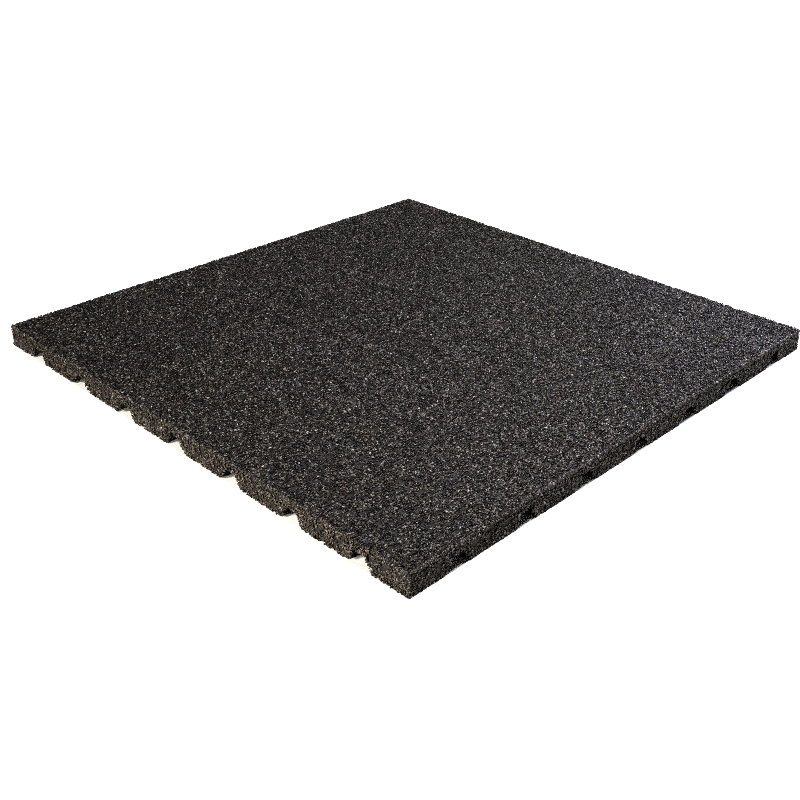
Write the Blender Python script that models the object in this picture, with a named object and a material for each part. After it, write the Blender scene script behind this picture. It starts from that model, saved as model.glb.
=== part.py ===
"""Rubber paving tile, moulded in one piece from rubber crumb.

A square slab with a rough flat top. Two sets of drainage grooves cross underneath and leave
a grid of feet with rounded edges. Z = 0 is the plane that the feet stand on, and the origin
is the middle of that plane. Metres, +Z up.
"""

from math import radians

import bpy
import bmesh
from mathutils import Matrix, Vector

# Driving dimensions
SIDE = 0.500
THICKNESS = 0.020
CORNER_ROUND = 0.002
RIM_ROUND = 0.0015

GROOVE_COUNT = 7
GROOVE_PITCH = 0.068
GROOVE_DEPTH = 0.011
GROOVE_ROOF_WIDTH = 0.0105
GROOVE_MOUTH_WIDTH = 0.022
FOOT_EDGE_ROUND = 0.0025

# How finely the round edges are divided, and how far a cutter reaches past what it cuts
ROUND_SEGMENTS = 3
FOOT_EDGE_SEGMENTS = 2
CUTTER_REACH = 0.005
TOUCH = 1e-6

RUBBER_COLOR = (0.040, 0.037, 0.036, 1.0)
RUBBER_ROUGHNESS = 0.9


def clear_scene():
    """Remove the objects of the scene that the script starts from."""
    for item in list(bpy.data.objects):
        bpy.data.objects.remove(item, do_unlink=True)


def rubber_material():
    """Return the matt black of bound rubber crumb."""
    material = bpy.data.materials.new("rubber_crumb")
    material.use_nodes = True
    shader = material.node_tree.nodes["Principled BSDF"]
    shader.inputs["Base Color"].default_value = RUBBER_COLOR
    shader.inputs["Roughness"].default_value = RUBBER_ROUGHNESS
    shader.inputs["Metallic"].default_value = 0.0
    return material


def add_object(name, mesh_data):
    """Turn a bmesh into an object of the scene."""
    mesh = bpy.data.meshes.new(name)
    mesh_data.to_mesh(mesh)
    mesh_data.free()
    item = bpy.data.objects.new(name, mesh)
    bpy.context.scene.collection.objects.link(item)
    return item


def round_edges(mesh_data, edges, offset, segments):
    """Round the given edges of a bmesh."""
    bmesh.ops.bevel(mesh_data, geom=edges, offset=offset, offset_type="OFFSET", segments=segments,
                    profile=0.5, affect="EDGES", material=-1)


def slab():
    """Return the tile without its grooves, with its corners and top rim rounded."""
    block = bmesh.new()
    placed = Matrix.Translation((0.0, 0.0, THICKNESS / 2)) @ Matrix.Diagonal((SIDE, SIDE, THICKNESS, 1.0))
    bmesh.ops.create_cube(block, size=1.0, matrix=placed)
    corners = [edge for edge in block.edges if abs(edge.verts[0].co.z - edge.verts[1].co.z) > TOUCH]
    round_edges(block, corners, CORNER_ROUND, ROUND_SEGMENTS)
    rim = [edge for edge in block.edges
           if all(abs(vert.co.z - THICKNESS) < TOUCH for vert in edge.verts)]
    round_edges(block, rim, RIM_ROUND, ROUND_SEGMENTS)
    return add_object("rubber_tile", block)


def groove_offsets():
    """Return how far each groove of one set lies from the middle of the tile."""
    return [GROOVE_PITCH * (index - (GROOVE_COUNT - 1) / 2) for index in range(GROOVE_COUNT)]


def groove_cutters(name, turn):
    """Return one set of parallel grooves as an object: prisms with sloping walls, along Y before the turn."""
    prisms = bmesh.new()
    slope = (GROOVE_MOUTH_WIDTH - GROOVE_ROOF_WIDTH) / 2 / GROOVE_DEPTH
    low_half = GROOVE_MOUTH_WIDTH / 2 + slope * CUTTER_REACH
    high_half = GROOVE_ROOF_WIDTH / 2
    end = SIDE / 2 + CUTTER_REACH
    outline = [(-low_half, -CUTTER_REACH), (low_half, -CUTTER_REACH),
               (high_half, GROOVE_DEPTH), (-high_half, GROOVE_DEPTH)]
    for offset in groove_offsets():
        corners = [prisms.verts.new((offset + x, -end, z)) for x, z in outline]
        start_face = prisms.faces.new(corners)
        pushed = bmesh.ops.extrude_face_region(prisms, geom=[start_face])
        moved = [item for item in pushed["geom"] if isinstance(item, bmesh.types.BMVert)]
        bmesh.ops.translate(prisms, verts=moved, vec=Vector((0.0, 2 * end, 0.0)))
    bmesh.ops.recalc_face_normals(prisms, faces=prisms.faces)
    cutter = add_object(name, prisms)
    cutter.matrix_world = turn
    return cutter


def cut(item, cutter):
    """Take the cutter's volume out of the object, then remove the cutter."""
    modifier = item.modifiers.new("grooves", "BOOLEAN")
    modifier.operation = "DIFFERENCE"
    modifier.solver = "EXACT"
    modifier.object = cutter
    evaluated = item.evaluated_get(bpy.context.evaluated_depsgraph_get())
    carved = bpy.data.meshes.new_from_object(evaluated)
    item.modifiers.clear()
    item.data = carved
    bpy.data.objects.remove(cutter, do_unlink=True)


def is_foot_edge(edge):
    """Tell whether an edge joins the underside of a foot to the sloping wall of a groove."""
    lies_low = all(abs(vert.co.z) < TOUCH for vert in edge.verts)
    return lies_low and any(-0.9 < face.normal.z < -0.1 for face in edge.link_faces)


def round_feet(item):
    """Round the edges of the feet along the grooves."""
    feet = bmesh.new()
    feet.from_mesh(item.data)
    bmesh.ops.remove_doubles(feet, verts=feet.verts, dist=TOUCH)
    bmesh.ops.dissolve_limit(feet, angle_limit=0.001, verts=feet.verts, edges=feet.edges)
    edges = [edge for edge in feet.edges if is_foot_edge(edge)]
    round_edges(feet, edges, FOOT_EDGE_ROUND, FOOT_EDGE_SEGMENTS)
    feet.to_mesh(item.data)
    feet.free()


def build():
    """Model the tile."""
    clear_scene()
    tile = slab()
    cut(tile, groove_cutters("grooves_along_y", Matrix.Identity(4)))
    cut(tile, groove_cutters("grooves_along_x", Matrix.Rotation(radians(90.0), 4, "Z")))
    round_feet(tile)
    tile.data.materials.clear()
    tile.data.materials.append(rubber_material())


build()
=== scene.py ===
"""Looks of the rubber tile: a slab of bonded rubber crumb on a pale studio floor.

The tile is a dark bed of binder and fines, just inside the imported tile's faces, with angular
granules pressed into it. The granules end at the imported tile's faces, as they did at the mould.
"""

import logging
from dataclasses import dataclass, field
from enum import Enum
from math import ceil, pi, radians, sqrt
from typing import Any, Sequence

import bmesh
import bpy
import numpy as np
from mathutils import Matrix, Vector


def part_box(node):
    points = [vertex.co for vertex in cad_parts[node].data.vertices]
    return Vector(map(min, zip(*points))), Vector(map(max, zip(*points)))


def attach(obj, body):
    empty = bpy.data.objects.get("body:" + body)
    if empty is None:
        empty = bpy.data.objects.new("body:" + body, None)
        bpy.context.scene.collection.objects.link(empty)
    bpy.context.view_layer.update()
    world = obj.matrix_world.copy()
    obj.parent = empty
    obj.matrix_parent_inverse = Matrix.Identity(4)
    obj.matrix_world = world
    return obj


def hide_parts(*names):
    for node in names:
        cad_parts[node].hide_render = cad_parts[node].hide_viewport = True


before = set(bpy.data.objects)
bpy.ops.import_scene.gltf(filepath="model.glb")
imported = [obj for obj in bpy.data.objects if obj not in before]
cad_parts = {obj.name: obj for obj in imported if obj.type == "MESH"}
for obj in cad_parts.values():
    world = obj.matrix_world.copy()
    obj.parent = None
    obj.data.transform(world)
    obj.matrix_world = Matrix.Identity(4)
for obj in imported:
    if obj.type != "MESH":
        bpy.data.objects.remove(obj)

LOG = logging.getLogger("rubber_tile")
Color = tuple[float, float, float]
Place = tuple[float, float, float]
Range = tuple[float, float]
Chip = tuple[np.ndarray, np.ndarray]

TILE_NODE = "rubber_tile"

# The map and the face attribute that each mesh of granules carries
BAKE_MAP = "OFBake"
GRAIN = "grain"

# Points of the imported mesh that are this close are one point
TOUCH = 1e-5

# The vertical part of the normal above which a surface is the top, and below which it is the underside
LOOKS_UP = 0.35
LOOKS_DOWN = -0.1

# Where the side face on the left has lost a granule
LOST_GRANULE = (-0.25, -0.2269, 0.0126)


class Face(Enum):
    """The faces of the tile that carry granules, each as a test on where the surface looks."""

    TOP = "top"
    EDGE = "edge"
    UNDER = "under"

    def holds(self, up: np.ndarray) -> np.ndarray:
        """Tell which surface triangles belong to this face.

        Args:
            up: The vertical part of each triangle's normal.

        Returns:
            One truth value for each triangle.
        """
        if self is Face.TOP:
            return up > LOOKS_UP
        if self is Face.UNDER:
            return up < LOOKS_DOWN
        return (up >= LOOKS_DOWN) & (up <= LOOKS_UP)


class Val:
    """A shader socket that takes part in Python expressions by adding Math nodes."""

    def __init__(self, nodes: "Nodes", socket: bpy.types.NodeSocket) -> None:
        """Wrap one output socket."""
        self.nodes = nodes
        self.socket = socket

    def _math(self, operation: str, first: Any, second: Any) -> "Val":
        """Add one Math node on two values."""
        return self.nodes.add("ShaderNodeMath", {"operation": operation}, {0: first, 1: second})

    def __add__(self, other: Any) -> "Val":
        """Return self + other."""
        return self._math("ADD", self, other)

    def __radd__(self, other: Any) -> "Val":
        """Return other + self."""
        return self._math("ADD", other, self)

    def __sub__(self, other: Any) -> "Val":
        """Return self - other."""
        return self._math("SUBTRACT", self, other)

    def __rsub__(self, other: Any) -> "Val":
        """Return other - self."""
        return self._math("SUBTRACT", other, self)

    def __mul__(self, other: Any) -> "Val":
        """Return self * other."""
        return self._math("MULTIPLY", self, other)

    def __rmul__(self, other: Any) -> "Val":
        """Return other * self."""
        return self._math("MULTIPLY", other, self)


class Nodes:
    """The node tree of a material or a world, filled through a single add method."""

    def __init__(self, owner: bpy.types.Material | bpy.types.World, shader: str = "Principled BSDF") -> None:
        """Start from the owner's own shader.

        Args:
            owner: A new material or world.
            shader: The name of the shader that it starts with.
        """
        owner.use_nodes = True
        self.tree = owner.node_tree
        self.shader = self.tree.nodes[shader]

    def add(self, kind: str, settings: dict[str, Any], inputs: dict[Any, Any], output: Any = 0) -> Val:
        """Add one node.

        Args:
            kind: The node's type.
            settings: Its settings, set before its sockets. Stops are a ramp's positions and colours.
            inputs: Values or wrapped sockets, by socket name or number.
            output: The name or number of the socket to return.

        Returns:
            The chosen output.
        """
        node = self.tree.nodes.new(kind)
        for name, value in settings.items():
            if name == "stops":
                self._set_stops(node.color_ramp, value)
            else:
                setattr(node, name, value)
        for name, value in inputs.items():
            self.feed(node.inputs[name], value)
        return Val(self, node.outputs[output])

    def feed(self, socket: bpy.types.NodeSocket, value: Any) -> None:
        """Link a wrapped socket to an input, or set the input's own value.

        Args:
            socket: The input.
            value: A wrapped socket, or a number, colour or vector.
        """
        if isinstance(value, Val):
            self.tree.links.new(value.socket, socket)
        else:
            socket.default_value = value

    @staticmethod
    def _set_stops(ramp: bpy.types.ColorRamp, stops: Sequence[tuple[float, Color]]) -> None:
        """Give a ramp its stops.

        Args:
            ramp: A new ramp, which has two stops.
            stops: Positions and colours, in rising order.
        """
        while len(ramp.elements) < len(stops):
            ramp.elements.new(0.5)
        for element, (position, color) in zip(ramp.elements, stops):
            element.position = position
            element.color = (*color, 1.0)

    @property
    def place(self) -> Val:
        """The shaded point, in the object's own coordinates."""
        return self.add("ShaderNodeTexCoord", {}, {}, "Object")

    def noise(self, size: float, detail: float = 3.0, roughness: float = 0.55) -> Val:
        """Return cloudy noise whose features are about size metres across."""
        return self.add("ShaderNodeTexNoise", {},
                        {"Vector": self.place, "Scale": 1.0 / size, "Detail": detail, "Roughness": roughness})

    def cells(self, size: float, feature: str) -> Val:
        """Return the distances in a pattern of cells about size metres across."""
        return self.add("ShaderNodeTexVoronoi", {"feature": feature},
                        {"Vector": self.place, "Scale": 1.0 / size}, "Distance")

    def ramp(self, value: Val, stops: Sequence[tuple[float, Color]]) -> Val:
        """Return the colour that a value picks from a ramp."""
        return self.add("ShaderNodeValToRGB", {"stops": stops}, {"Fac": value}, "Color")

    def level(self, value: Val, low: float, high: float, low_out: float = 0.0, high_out: float = 1.0) -> Val:
        """Move a value from one range to another and keep it within that.

        Args:
            value: The value.
            low: The start of its own range.
            high: The end of its own range.
            low_out: What low becomes.
            high_out: What high becomes.

        Returns:
            The moved value.
        """
        return self.add("ShaderNodeMapRange", {"clamp": True},
                        {"Value": value, "From Min": low, "From Max": high,
                         "To Min": low_out, "To Max": high_out})

    def mix(self, amount: Any, first: Any, second: Any, blend: str = "MIX") -> Val:
        """Return two colours mixed, with amount as the share of the second."""
        return self.add("ShaderNodeMix", {"data_type": "RGBA", "blend_type": blend, "clamp_factor": True},
                        {0: amount, 6: first, 7: second}, 2)

    def bump(self, height: Val, depth: float, strength: float) -> None:
        """Drive the shader's normal.

        Args:
            height: A height of 0 to 1.
            depth: How many metres a height of 1 stands for.
            strength: The share of the relief that shows.
        """
        normal = self.add("ShaderNodeBump", {}, {"Height": height, "Distance": depth, "Strength": strength},
                          "Normal")
        self.feed(self.shader.inputs["Normal"], normal)


@dataclass(frozen=True)
class GranuleRubber:
    """Cut faces of black rubber granules: satin black, each a little lighter or darker than the next.

    Each granule carries three random numbers of 0 to 1: its tone, its tint and its gloss.

    Attributes:
        name: The material's name.
        darkest: The colour of the blackest granules, and of the painted shade at the bottoms of tears.
        usual: The colour of a middling granule.
        lighter: The colour of the lighter granules.
        palest_glint: The colour of the few palest granules, partly pale flecks of the crumb and partly
            painted glints.
        black_share: The tone up to which a granule is of the darkest colour.
        usual_at: The tone of the usual colour.
        lighter_from: The tone from which a granule is of the lighter colour.
        lighter_to: The tone past which it turns to palest_glint.
        brown: The colour that the few brownish granules lean to.
        brown_tints: The tints between which the brown comes in.
        brown_amount: How far the brown is mixed in.
        warm_tint: What the warm patches of the tile multiply the colour by.
        cool_tint: What the cool patches multiply it by.
        patch_size: How wide the patches are, in metres.
        patch_detail: How ragged the patches are.
        patch_stops: Where in the noise the warm, the plain and the cool patches lie.
        side_light: The mean share of painted light on the granules, which lightens a face in patches.
        side_light_color: The colour of the painted light.
        side_light_scale: The width of its patches, as a share of patch_size.
        side_light_noise: The range of noise that it follows.
        side_light_swing: How far it strays from its mean, as a share of it.
        shine: The specular level.
        roughness: The roughness of the glossiest granule and of the dullest.
        gloss_levels: The range of gloss and tears that the roughness follows.
        tear_gloss: How much the tears count in it.
        tear_size: How wide the tears in the cut rubber are, in metres.
        tear_depth: How deep they are, in metres.
        tear_noise: The range of noise that they follow.
        tear_shade: The share of the darkest colour painted at their bottoms, as painted shade.
        tear_strength: How strongly their relief shows.
    """

    name: str = "granule_rubber"
    darkest: Color = (0.0040, 0.0030, 0.0024)
    usual: Color = (0.0375, 0.0310, 0.0269)
    lighter: Color = (0.134, 0.126, 0.119)
    palest_glint: Color = (0.32, 0.312, 0.305)
    black_share: float = 0.30
    usual_at: float = 0.65
    lighter_from: float = 0.88
    lighter_to: float = 0.97
    brown: Color = (0.060, 0.044, 0.034)
    brown_tints: Range = (0.96, 0.98)
    brown_amount: float = 0.5
    warm_tint: Color = (1.05, 0.99, 0.96)
    cool_tint: Color = (0.97, 1.01, 1.00)
    patch_size: float = 0.020
    patch_detail: float = 2.0
    patch_stops: tuple[float, float, float] = (0.35, 0.50, 0.65)
    side_light: float = 0.0
    side_light_color: Color = (0.200, 0.183, 0.160)
    side_light_scale: float = 0.6
    side_light_noise: Range = (0.25, 0.75)
    side_light_swing: float = 0.5
    shine: float = 0.25
    roughness: Range = (0.22, 0.50)
    gloss_levels: Range = (0.2, 1.3)
    tear_gloss: float = 0.5
    tear_size: float = 0.0007
    tear_depth: float = 0.00022
    tear_noise: Range = (0.3, 0.7)
    tear_shade: float = 0.75
    tear_strength: float = 0.8

    def material(self) -> bpy.types.Material:
        """Make the finish.

        Returns:
            The material.
        """
        made = bpy.data.materials.new(self.name)
        nodes = Nodes(made)
        carried = nodes.add("ShaderNodeAttribute", {"attribute_name": GRAIN}, {}, "Vector")
        parts = nodes.add("ShaderNodeSeparateXYZ", {}, {"Vector": carried})
        tone, tint, gloss = (Val(nodes, output) for output in parts.socket.node.outputs)
        # The palest stop of the ramp is partly pale flecks and partly painted glints.
        color = nodes.ramp(tone, [(0.0, self.darkest), (self.black_share, self.darkest),
                                  (self.usual_at, self.usual), (self.lighter_from, self.lighter),
                                  (self.lighter_to, self.lighter), (1.0, self.palest_glint)])
        browned = nodes.level(tint, *self.brown_tints, 0.0, self.brown_amount)
        color = nodes.mix(browned, color, (*self.brown, 1.0))
        tints = (self.warm_tint, (1.0, 1.0, 1.0), self.cool_tint)
        patches = nodes.ramp(nodes.noise(self.patch_size, detail=self.patch_detail),
                             list(zip(self.patch_stops, tints)))
        color = nodes.mix(1.0, color, patches, "MULTIPLY")
        tears = nodes.noise(self.tear_size)
        # Painted shade: the bottoms of the tears are darkened towards the darkest colour.
        shaded_tears = nodes.level(tears, *self.tear_noise, self.tear_shade, 0.0)
        color = nodes.mix(shaded_tears, color, (*self.darkest, 1.0))
        # Painted light: a lighter colour is laid over the granules in patches, where the finish asks for it.
        if self.side_light:
            color = self.lightened(nodes, color)
        nodes.feed(nodes.shader.inputs["Base Color"], color)
        dull = nodes.level(gloss + self.tear_gloss * tears, *self.gloss_levels, *self.roughness)
        nodes.feed(nodes.shader.inputs["Roughness"], dull)
        nodes.feed(nodes.shader.inputs["Specular IOR Level"], self.shine)
        nodes.bump(tears, self.tear_depth, self.tear_strength)
        return made

    def lightened(self, nodes: Nodes, color: Val) -> Val:
        """Lay painted light over a colour, more in some patches than in others.

        Args:
            nodes: The material's nodes.
            color: The colour without the painted light.

        Returns:
            The lighter colour.
        """
        least, most = (1.0 - self.side_light_swing) * self.side_light, (1.0 + self.side_light_swing) * self.side_light
        settled = nodes.level(nodes.noise(self.patch_size * self.side_light_scale), *self.side_light_noise, least, most)
        return nodes.mix(settled, color, (*self.side_light_color, 1.0))


@dataclass(frozen=True)
class BinderBed:
    """The bed between the granules: binder, fines and deeper granules, seen only in the gaps. Its colours are
    darker than the granules', as painted shade of the deep gaps.

    Attributes:
        gap_shade: The painted shade between the fines.
        fines: The colour of the fines.
        fine_size: How wide the fines are, in metres.
        seam_levels: The range of distance from a seam over which the colour changes.
        shade_scale: The width of the shaded patches, as a multiple of fine_size.
        shade_noise: The range of noise that the shade follows.
        shade_dark: The share of the painted gap shade where the shade is deepest.
        relief: How high the fines stand, in metres.
        roughness: The lowest and the highest roughness.
        rough_noise: The range of noise that the roughness follows.
    """

    gap_shade: Color = (0.0028, 0.0022, 0.0019)
    fines: Color = (0.0115, 0.0096, 0.0083)
    fine_size: float = 0.0016
    seam_levels: Range = (0.02, 0.28)
    shade_scale: float = 2.0
    shade_noise: Range = (0.35, 0.65)
    shade_dark: float = 0.6
    relief: float = 0.0009
    roughness: Range = (0.55, 0.85)
    rough_noise: Range = (0.3, 0.7)

    def material(self) -> bpy.types.Material:
        """Make the finish: small cells with painted shade in the seams between them.

        Returns:
            The material.
        """
        made = bpy.data.materials.new("binder_bed")
        nodes = Nodes(made)
        away = nodes.cells(self.fine_size, "F1")
        seams = nodes.cells(self.fine_size, "DISTANCE_TO_EDGE")
        shade = nodes.noise(self.fine_size * self.shade_scale)
        # Painted shade: the seams between the fines and the shaded patches are darkened.
        color = nodes.mix(nodes.level(seams, *self.seam_levels), (*self.gap_shade, 1.0), (*self.fines, 1.0))
        shaded = nodes.level(shade, *self.shade_noise, self.shade_dark, 0.0)
        color = nodes.mix(shaded, color, (*self.gap_shade, 1.0))
        nodes.feed(nodes.shader.inputs["Base Color"], color)
        nodes.feed(nodes.shader.inputs["Roughness"], nodes.level(shade, *self.rough_noise, *self.roughness))
        nodes.bump(1.0 - away, self.relief, 1.0)
        return made


def add_piece(name: str, mesh: bpy.types.Mesh, material: bpy.types.Material) -> bpy.types.Object:
    """Make an object of the tile from a mesh, and let it ride on the tile.

    Args:
        name: The piece's name.
        mesh: Its mesh, in place.
        material: Its finish.

    Returns:
        The new object.
    """
    mesh.materials.clear()
    mesh.materials.append(material)
    piece = bpy.data.objects.new(name, mesh)
    bpy.context.scene.collection.objects.link(piece)
    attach(piece, "root")
    LOG.info("%s: %d faces", name, len(mesh.polygons))
    return piece


@dataclass
class CrumbBed:
    """The body of the tile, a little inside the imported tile's faces.

    Attributes:
        recess: How far inside, in metres.
        finish: Its finish.
    """

    recess: float = 0.0015
    finish: BinderBed = field(default_factory=BinderBed)

    def build(self) -> bpy.types.Mesh:
        """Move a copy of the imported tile's mesh inwards all over by the recess.

        Returns:
            The copy.
        """
        bed = bmesh.new()
        bed.from_mesh(bpy.data.objects[TILE_NODE].data)
        bmesh.ops.remove_doubles(bed, verts=bed.verts, dist=TOUCH)
        bed.normal_update()
        inward = [vert.normal * vert.calc_shell_factor() * -self.recess for vert in bed.verts]
        for vert, step in zip(bed.verts, inward):
            vert.co += step
        mesh = bpy.data.meshes.new("crumb_bed")
        bed.to_mesh(mesh)
        bed.free()
        return mesh

    def dress(self) -> None:
        """Make the piece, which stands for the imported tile."""
        piece = add_piece("crumb_bed", self.build(), self.finish.material())
        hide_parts(TILE_NODE)


class ChipForm(Enum):
    """The shapes that crumb is cut to: how many sides, the radius at each end, and the height."""

    WEDGE = (3, 1.3, 0.0, 1.8)
    SPIKE = (4, 1.1, 0.0, 1.6)
    BLOCK = (3, 1.15, 0.95, 1.4)


@dataclass
class GranuleShapes:
    """A few angular chips of rubber, each about 2 units across, which the granules are copied from.

    Attributes:
        count: How many chips there are.
        forms: The forms that they take in turn.
        jitter: How far their corners are knocked about.
        seed: The start of the random numbers.
    """

    count: int = 12
    forms: tuple[ChipForm, ...] = (ChipForm.WEDGE, ChipForm.SPIKE, ChipForm.WEDGE,
                                   ChipForm.SPIKE, ChipForm.WEDGE, ChipForm.BLOCK)
    jitter: float = 0.30
    seed: int = 11

    def chip(self, form: ChipForm, chance: np.random.Generator) -> Chip:
        """Make one chip with its corners knocked about.

        Args:
            form: The form that it starts from.
            chance: The source of random numbers.

        Returns:
            Its points about their middle, and its triangles as point numbers.
        """
        sides, low_radius, high_radius, height = form.value
        solid = bmesh.new()
        bmesh.ops.create_cone(solid, cap_ends=True, segments=sides, radius1=low_radius, radius2=high_radius,
                              depth=height)
        for vert in solid.verts:
            vert.co += Vector(chance.uniform(-self.jitter, self.jitter, 3))
        bmesh.ops.triangulate(solid, faces=solid.faces)
        bmesh.ops.recalc_face_normals(solid, faces=solid.faces)
        solid.verts.index_update()
        points = np.array([vert.co[:] for vert in solid.verts])
        corners = np.array([[vert.index for vert in face.verts] for face in solid.faces])
        solid.free()
        return points - points.mean(axis=0), corners

    def build(self) -> list[Chip]:
        """Return all the chips."""
        chance = np.random.default_rng(self.seed)
        return [self.chip(self.forms[index % len(self.forms)], chance) for index in range(self.count)]


@dataclass(frozen=True)
class Surface:
    """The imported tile's surface as triangles.

    Attributes:
        corners: The three corners of each triangle.
        normals: The normal of each triangle.
    """

    corners: np.ndarray
    normals: np.ndarray

    @classmethod
    def of_tile(cls) -> "Surface":
        """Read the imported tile.

        Returns:
            Its surface, without triangles that have no area.
        """
        mesh = bpy.data.objects[TILE_NODE].data
        mesh.calc_loop_triangles()
        order = np.empty(len(mesh.loop_triangles) * 3, np.int32)
        mesh.loop_triangles.foreach_get("vertices", order)
        places = np.empty(len(mesh.vertices) * 3, np.float32)
        mesh.vertices.foreach_get("co", places)
        corners = places.reshape(-1, 3)[order].reshape(-1, 3, 3).astype(float)
        across = np.cross(corners[:, 1] - corners[:, 0], corners[:, 2] - corners[:, 0])
        lengths = np.linalg.norm(across, axis=1, keepdims=True)
        kept = lengths[:, 0] > 0.0
        return cls(corners[kept], across[kept] / lengths[kept])

    @property
    def width(self) -> float:
        """How far the surface reaches along X."""
        return float(np.ptp(self.corners[:, :, 0]))

    def part(self, face: Face) -> "Surface":
        """Return the triangles of one face of the tile."""
        held = face.holds(self.normals[:, 2])
        return Surface(self.corners[held], self.normals[held])

    def scattered(self, spacing: float, tries_per_cell: float,
                  chance: np.random.Generator) -> tuple[np.ndarray, np.ndarray]:
        """Spread points over the surface, at most one to each cell of a fine lattice.

        Args:
            spacing: The lattice's pitch, in metres.
            tries_per_cell: How many points are tried for each square of the pitch.
            chance: The source of random numbers.

        Returns:
            The points, and the surface's normal at each.
        """
        sides = self.corners[:, 1:] - self.corners[:, :1]
        areas = np.linalg.norm(np.cross(sides[:, 0], sides[:, 1]), axis=1) / 2
        tries = int(areas.sum() / spacing**2 * tries_per_cell)
        chosen = chance.choice(len(areas), tries, p=areas / areas.sum())
        along, across = chance.random((2, tries, 1))
        folded = along + across > 1
        along, across = np.where(folded, 1 - along, along), np.where(folded, 1 - across, across)
        points = self.corners[chosen, 0] + along * sides[chosen, 0] + across * sides[chosen, 1]
        cells = np.floor(points / spacing + chance.random(3)).astype(np.int64)
        _, first = np.unique(cells, axis=0, return_index=True)
        return points[first], self.normals[chosen[first]]


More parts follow.
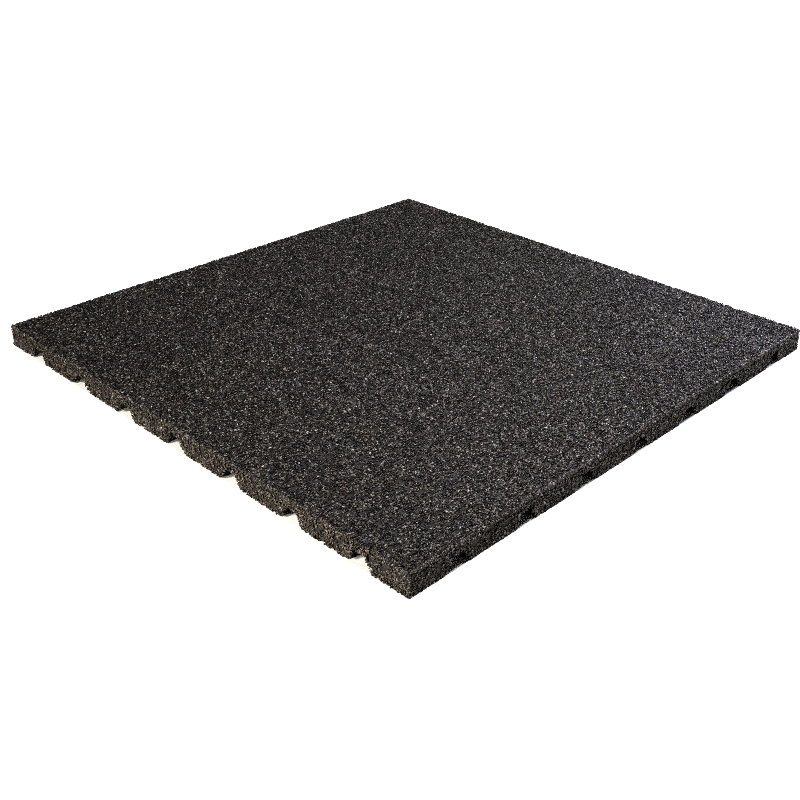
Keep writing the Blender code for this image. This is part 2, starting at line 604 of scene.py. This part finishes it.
@dataclass
class GranuleSkin:
    """The granules of one face of the tile, as a few joined meshes.

    Attributes:
        face: The face.
        finish: The finish of its granules.
        spacing: About how far apart the granules lie, in metres.
        pieces: How many meshes they are joined to, in strips along X.
        seed: The start of the random numbers.
        tries_per_cell: How many granules are tried for each place.
        half_width: Half the width of a granule of size 1, in metres.
        smallest: The size of the smallest granule.
        largest: The size of the largest.
        deepest: How far below the surface the top of a granule may lie, in metres.
        sinking: The power that shapes the random depths: above 1, few granules lie deep.
        mould_slack: How far a granule may stay back from the mould's side walls, in metres.
        pit_size: How wide the open pits are, in metres.
        pit_share: The share of the face that they take.
        holes: Places where a granule has come out.
        hole_radius: How far round such a place is bare, in metres.
    """

    face: Face
    finish: GranuleRubber
    spacing: float
    pieces: int
    seed: int
    tries_per_cell: float = 6.0
    half_width: float = 0.00105
    smallest: float = 0.55
    largest: float = 1.25
    deepest: float = 0.00100
    sinking: float = 1.5
    mould_slack: float = 0.00060
    pit_size: float = 0.0028
    pit_share: float = 0.10
    holes: tuple[Place, ...] = ()
    hole_radius: float = 0.0030

    @staticmethod
    def turns(count: int, chance: np.random.Generator) -> np.ndarray:
        """Make random rotation matrices, from random unit quaternions.

        Args:
            count: How many.
            chance: The source of random numbers.

        Returns:
            An array of count by three by three.
        """
        w, x, y, z = chance.normal(size=(4, count))
        length = np.sqrt(w * w + x * x + y * y + z * z)
        w, x, y, z = w / length, x / length, y / length, z / length
        rows = [[1 - 2 * (y * y + z * z), 2 * (x * y - w * z), 2 * (x * z + w * y)],
                [2 * (x * y + w * z), 1 - 2 * (x * x + z * z), 2 * (y * z - w * x)],
                [2 * (x * z - w * y), 2 * (y * z + w * x), 1 - 2 * (x * x + y * y)]]
        return np.array(rows).transpose(2, 0, 1)

    def placed(self, points: np.ndarray, normals: np.ndarray, chip: np.ndarray,
               chance: np.random.Generator) -> np.ndarray:
        """Place copies of one chip, pressed in so that none stands out of the mould.

        Args:
            points: A surface point for each copy.
            normals: The surface's normal there.
            chip: The chip's own points.
            chance: The source of random numbers.

        Returns:
            The copies' points, an array of copies by points by three.
        """
        count = len(points)
        sizes = self.half_width * chance.uniform(self.smallest, self.largest, (count, 1, 1))
        shaped = np.einsum("nij,kj->nki", self.turns(count, chance), chip) * sizes
        height = np.einsum("nki,ni->nk", shaped, normals).max(axis=1)
        sunk = height + self.deepest * chance.random(count) ** self.sinking
        shaped += (points - normals * sunk[:, None])[:, None, :]
        low, high = (np.array(corner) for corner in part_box(TILE_NODE))
        slack = self.mould_slack * chance.random((count, 1, 3))
        slack[:, :, 2] = 0.0
        return np.clip(shaped, low + slack, high - slack)

    def outside_pits(self, points: np.ndarray, chance: np.random.Generator) -> np.ndarray:
        """Tell which granules stay where small pits are left open in the skin, down to the bed.

        Args:
            points: The granules' places.
            chance: The source of random numbers.

        Returns:
            One truth value for each granule.
        """
        cells = np.floor(points / self.pit_size + chance.random(3)).astype(np.int64)
        _, cell = np.unique(cells, axis=0, return_inverse=True)
        cell = cell.ravel()
        open_cells = chance.random(cell.max() + 1) < self.pit_share
        stays = ~open_cells[cell]
        for hole in self.holes:
            stays &= np.linalg.norm(points - np.array(hole), axis=1) > self.hole_radius
        return stays

    def build(self, surface: Surface, chips: Sequence[Chip]) -> list[bpy.types.Mesh]:
        """Make the joined meshes.

        Args:
            surface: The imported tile's surface.
            chips: The shapes to copy.

        Returns:
            One mesh for each piece.
        """
        chance = np.random.default_rng(self.seed)
        points, normals = surface.part(self.face).scattered(self.spacing, self.tries_per_cell, chance)
        kept = self.outside_pits(points, chance)
        points, normals = points[kept], normals[kept]
        order = np.argsort(points[:, 0] // (surface.width / self.pieces), kind="stable")
        meshes = []
        for number, share in enumerate(np.array_split(order, self.pieces), start=1):
            name = f"granules_{self.face.value}_{number}"
            meshes.append(self.joined(name, points[share], normals[share], chips, chance))
        return meshes

    def joined(self, name: str, points: np.ndarray, normals: np.ndarray, chips: Sequence[Chip],
               chance: np.random.Generator) -> bpy.types.Mesh:
        """Make one mesh that holds a granule at each point.

        Args:
            name: The mesh's name.
            points: The granules' places.
            normals: The surface's normal at each.
            chips: The shapes to copy, of which each granule takes one by chance.
            chance: The source of random numbers.

        Returns:
            The mesh.
        """
        kinds = chance.integers(0, len(chips), len(points))
        places, corners, owners = [], [], []
        base = 0
        done = 0
        for kind, (chip, faces) in enumerate(chips):
            mine = kinds == kind
            copies = self.placed(points[mine], normals[mine], chip, chance)
            count = len(copies)
            starts = base + np.arange(count)[:, None, None] * len(chip)
            places.append(copies.reshape(-1, 3))
            corners.append((faces[None] + starts).reshape(-1, 3))
            owners.append(np.repeat(np.arange(done, done + count), len(faces)))
            base += count * len(chip)
            done += count
        return self.mesh_of(name, np.concatenate(places), np.concatenate(corners), np.concatenate(owners),
                            chance.random((done, 3)))

    @staticmethod
    def mesh_of(name: str, places: np.ndarray, corners: np.ndarray, owners: np.ndarray,
                grains: np.ndarray) -> bpy.types.Mesh:
        """Make a mesh whose faces carry their granule's random numbers and a map with a cell for each.

        Args:
            name: The mesh's name.
            places: Its points.
            corners: Its triangles, as point numbers.
            owners: The granule that each triangle belongs to.
            grains: Three random numbers for each granule.

        Returns:
            The mesh.
        """
        mesh = bpy.data.meshes.new(name)
        mesh.vertices.add(len(places))
        mesh.vertices.foreach_set("co", places.ravel())
        mesh.loops.add(corners.size)
        mesh.loops.foreach_set("vertex_index", corners.ravel().astype(np.int32))
        mesh.polygons.add(len(corners))
        mesh.polygons.foreach_set("loop_start", np.arange(0, corners.size, 3, dtype=np.int32))
        mesh.update(calc_edges=True)
        carried = mesh.attributes.new(GRAIN, "FLOAT_VECTOR", "FACE")
        carried.data.foreach_set("vector", grains[owners].ravel())
        across = ceil(sqrt(len(grains)))
        cell = np.stack([owners % across, owners // across], axis=1)[:, None, :]
        inside_cell = np.array([[0.1, 0.1], [0.9, 0.1], [0.5, 0.9]])[None]
        layer = mesh.uv_layers.new(name=BAKE_MAP)
        layer.data.foreach_set("uv", ((cell + inside_cell) / across).ravel())
        return mesh

    def dress(self, surface: Surface, chips: Sequence[Chip]) -> None:
        """Make the pieces.

        Args:
            surface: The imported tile's surface.
            chips: The shapes to copy.
        """
        material = self.finish.material()
        for mesh in self.build(surface, chips):
            add_piece(mesh.name, mesh, material)


class LampKind(Enum):
    """How a lamp's light falls: the same all over, or less with distance."""

    EVEN = "SUN"
    NEAR = "AREA"


@dataclass(frozen=True)
class SoftLight:
    """A soft light that looks at the middle of the tile.

    Attributes:
        name: Its name.
        kind: How its light falls.
        place: Where it stands, in metres. For an even light only the direction counts.
        spread: The angle that an even light fills, in degrees, or a near one's width in metres.
        power: Its strength.
        color: Its colour.
    """

    name: str
    kind: LampKind
    place: Place
    spread: float
    power: float
    color: Color

    def build(self) -> None:
        """Add the light."""
        data = bpy.data.lights.new(self.name, self.kind.value)
        data.energy = self.power
        data.color = self.color
        if self.kind is LampKind.EVEN:
            data.angle = radians(self.spread)
        else:
            data.size = self.spread
        lamp = bpy.data.objects.new(self.name, data)
        lamp.location = self.place
        lamp.rotation_euler = (-Vector(self.place)).to_track_quat("-Z", "Y").to_euler()
        bpy.context.scene.collection.objects.link(lamp)


@dataclass
class Studio:
    """A pale floor, soft light and the camera at the photograph's angle.

    Attributes:
        floor_side: The floor's width, in metres.
        floor_color: Its colour.
        floor_roughness: Its roughness.
        floor_shine: Its specular level.
        sky_color: The colour of the light from all round.
        sky_light: The strength of that light.
        sky_seen: The strength of the backdrop that the camera sees.
        camera_place: Where the camera stands, in metres.
        camera_turn: How far it is turned from +Y towards +X, in degrees.
        camera_tilt: How far it looks down, in degrees.
        camera_roll: How far it is rolled, in degrees.
        lens: Its focal length, in millimetres.
        sensor: The width of its sensor, in millimetres.
        shift: How far the picture is shifted sideways and up, as a share of its width.
        clip: The nearest and the farthest that it sees, in metres.
        pixel_filter: The width of the filter that each pixel is gathered with, in pixels.
        lights: The lights.
    """

    floor_side: float = 12.0
    floor_color: Color = (0.66, 0.658, 0.648)
    floor_roughness: float = 0.9
    floor_shine: float = 0.1
    sky_color: Color = (1.0, 1.0, 1.0)
    sky_light: float = 0.04
    sky_seen: float = 1.1
    camera_place: Place = (-0.63652, -0.63322, 0.44516)
    camera_turn: float = 46.507
    camera_tilt: float = 27.660
    camera_roll: float = 0.963
    lens: float = 50.065
    sensor: float = 36.0
    shift: Range = (-0.040, -0.035)
    clip: Range = (0.01, 50.0)
    pixel_filter: float = 0.8
    lights: tuple[SoftLight, ...] = (
        SoftLight("overhead", LampKind.EVEN, (0.0, 0.02, 1.0), 10.0, 0.9, (1.0, 0.98, 0.96)),
        SoftLight("warm", LampKind.EVEN, (-1.0, 0.12, 0.85), 14.0, 3.9, (1.0, 0.955, 0.90)),
        SoftLight("behind", LampKind.EVEN, (1.0, 0.35, 0.62), 20.0, 0.7, (0.97, 0.98, 1.0)),
        SoftLight("low_front", LampKind.EVEN, (0.35, -1.0, 0.07), 6.0, 1.42, (1.0, 0.96, 0.95)),
        SoftLight("left_near", LampKind.NEAR, (-0.75, -0.12, 0.12), 0.08, 3.0, (1.0, 0.955, 0.86)),
        SoftLight("cool_near", LampKind.NEAR, (0.58, -0.25, 0.36), 0.16, 5.7, (0.75, 0.80, 1.0)),
        SoftLight("front_near", LampKind.NEAR, (-0.16, -0.26, 0.36), 0.10, 1.8, (1.0, 0.975, 0.95)),
    )

    def floor(self) -> None:
        """Add the floor under the tile."""
        sheet = bmesh.new()
        bmesh.ops.create_grid(sheet, x_segments=1, y_segments=1, size=self.floor_side / 2)
        mesh = bpy.data.meshes.new("studio_floor")
        sheet.to_mesh(mesh)
        sheet.free()
        material = bpy.data.materials.new("studio_paper")
        nodes = Nodes(material)
        nodes.feed(nodes.shader.inputs["Base Color"], (*self.floor_color, 1.0))
        nodes.feed(nodes.shader.inputs["Roughness"], self.floor_roughness)
        nodes.feed(nodes.shader.inputs["Specular IOR Level"], self.floor_shine)
        mesh.materials.append(material)
        ground = bpy.data.objects.new("studio_floor", mesh)
        bpy.context.scene.collection.objects.link(ground)

    def sky(self) -> None:
        """Light the scene a little from all round, and leave the backdrop white."""
        world = bpy.data.worlds.new("studio_sky")
        nodes = Nodes(world, "Background")
        seen = nodes.add("ShaderNodeLightPath", {}, {}, "Is Camera Ray")
        strength = nodes.level(seen, 0.0, 1.0, self.sky_light, self.sky_seen)
        nodes.feed(nodes.shader.inputs["Color"], (*self.sky_color, 1.0))
        nodes.feed(nodes.shader.inputs["Strength"], strength)
        bpy.context.scene.world = world

    def camera(self) -> None:
        """Add the camera."""
        data = bpy.data.cameras.new("camera")
        data.lens = self.lens
        data.sensor_width = self.sensor
        data.shift_x, data.shift_y = self.shift
        data.clip_start, data.clip_end = self.clip
        eye = bpy.data.objects.new("camera", data)
        eye.matrix_world = (Matrix.Translation(self.camera_place)
                            @ Matrix.Rotation(-radians(self.camera_turn), 4, "Z")
                            @ Matrix.Rotation(pi / 2 - radians(self.camera_tilt), 4, "X")
                            @ Matrix.Rotation(radians(self.camera_roll), 4, "Z"))
        bpy.context.scene.collection.objects.link(eye)
        bpy.context.scene.camera = eye

    def tones(self) -> None:
        """Set how the picture is developed: contrasty, and with the grain left sharp."""
        view = bpy.context.scene.view_settings
        view.view_transform = "Standard"
        view.look = "High Contrast"
        view.exposure = 0.0
        bpy.context.scene.cycles.use_denoising = False
        bpy.context.scene.cycles.filter_width = self.pixel_filter

    def build(self) -> None:
        """Make the studio."""
        self.floor()
        self.sky()
        self.camera()
        for light in self.lights:
            light.build()
        self.tones()


def main() -> None:
    """Dress the tile and set up its studio."""
    logging.basicConfig(level=logging.INFO, format="%(name)s %(message)s")
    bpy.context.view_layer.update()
    CrumbBed().dress()
    surface = Surface.of_tile()
    chips = GranuleShapes().build()
    plain_finish = GranuleRubber()
    # Painted light: the side faces' granules are lighter and warmer than the top's, and are lightened further
    # in patches.
    lit_sides = GranuleRubber("granule_rubber_lit_sides", darkest=(0.0080, 0.0052, 0.0032),
                          usual=(0.050, 0.0382, 0.0285), lighter=(0.143, 0.132, 0.119), side_light=0.12)
    skins = [
        GranuleSkin(Face.TOP, plain_finish, spacing=0.00145, pieces=4, seed=1),
        GranuleSkin(Face.EDGE, lit_sides, spacing=0.00145, pieces=1, seed=2, pit_size=0.0032, pit_share=0.13,
                    holes=(LOST_GRANULE,)),
        GranuleSkin(Face.UNDER, plain_finish, spacing=0.00270, pieces=2, seed=3, half_width=0.0014),
    ]
    for skin in skins:
        skin.dress(surface, chips)
    Studio().build()


if __name__ == "__main__":
    main()
